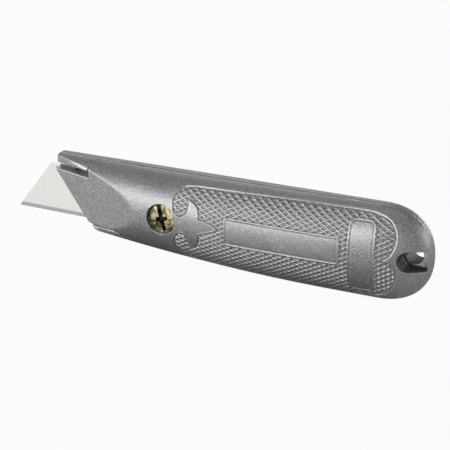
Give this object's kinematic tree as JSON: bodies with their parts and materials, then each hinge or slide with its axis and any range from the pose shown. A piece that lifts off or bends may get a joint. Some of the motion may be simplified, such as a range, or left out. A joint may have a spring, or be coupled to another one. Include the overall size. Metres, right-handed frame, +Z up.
{
  "type": "utility knife",
  "caption": "Fixed-blade utility knife: two hollow cast handle shells clamp a trapezoid blade at an interlocking nose and store spare blades inside.",
  "frame": {"origin": "centre of the closed knife's box in plan, on its lowest point", "axes": "+X from nose to tail, +Y towards the thread side, -Y towards the screw head, +Z up from cutting edge to back"},
  "size_m": [0.1538, 0.0228, 0.0333],
  "materials": {
    "lacquered_zinc": "satin grey lacquer",
    "yellow_zinc_plate": "yellow-passivated plate, glossy",
    "blade_steel": "bright ground steel"
  },
  "bodies": {
    "thread_side": {"thread_side_shell": "lacquered_zinc"},
    "screw_side": {"screw_side_shell": "lacquered_zinc"},
    "screw": {"clamp_screw": "yellow_zinc_plate"},
    "fitted_blade": {"blade": "blade_steel"},
    "spare_1": {"spare_blade_1": "blade_steel"},
    "spare_2": {"spare_blade_2": "blade_steel"},
    "spare_3": {"spare_blade_3": "blade_steel"},
    "spare_4": {"spare_blade_4": "blade_steel"},
    "spare_5": {"spare_blade_5": "blade_steel"}
  },
  "joints": [
    {"name": "shell_lift_off", "type": "slide", "parent": "thread_side", "child": "screw_side", "axis": [0, -1, 0], "range_m": [0, 0.06]},
    {"name": "screw_turn", "type": "hinge", "parent": "screw_side", "child": "screw", "pos_m": [-0.0161, -0.009, 0.01755], "axis": [0, 1, 0], "continuous": true},
    {"name": "blade_lift_out", "type": "slide", "parent": "thread_side", "child": "fitted_blade", "axis": [0, -0.9903, 0.1387], "range_m": [0, 0.027]},
    {"name": "spare_1_lift_out", "type": "slide", "parent": "thread_side", "child": "spare_1", "axis": [0, -1, 0], "range_m": [0, 0.0264]},
    {"name": "spare_2_lift_out", "type": "slide", "parent": "thread_side", "child": "spare_2", "axis": [0, -1, 0], "range_m": [0, 0.024]},
    {"name": "spare_3_lift_out", "type": "slide", "parent": "thread_side", "child": "spare_3", "axis": [0, -1, 0], "range_m": [0, 0.0216]},
    {"name": "spare_4_lift_out", "type": "slide", "parent": "thread_side", "child": "spare_4", "axis": [0, -1, 0], "range_m": [0, 0.0192]},
    {"name": "spare_5_lift_out", "type": "slide", "parent": "thread_side", "child": "spare_5", "axis": [0, -1, 0], "range_m": [0, 0.0168]}
  ],
  "couplings": [
    {"joint": "blade_lift_out", "follows": "shell_lift_off", "ratio": 0.45},
    {"joint": "spare_1_lift_out", "follows": "shell_lift_off", "ratio": 0.44},
    {"joint": "spare_2_lift_out", "follows": "shell_lift_off", "ratio": 0.4},
    {"joint": "spare_3_lift_out", "follows": "shell_lift_off", "ratio": 0.36},
    {"joint": "spare_4_lift_out", "follows": "shell_lift_off", "ratio": 0.32},
    {"joint": "spare_5_lift_out", "follows": "shell_lift_off", "ratio": 0.28}
  ]
}
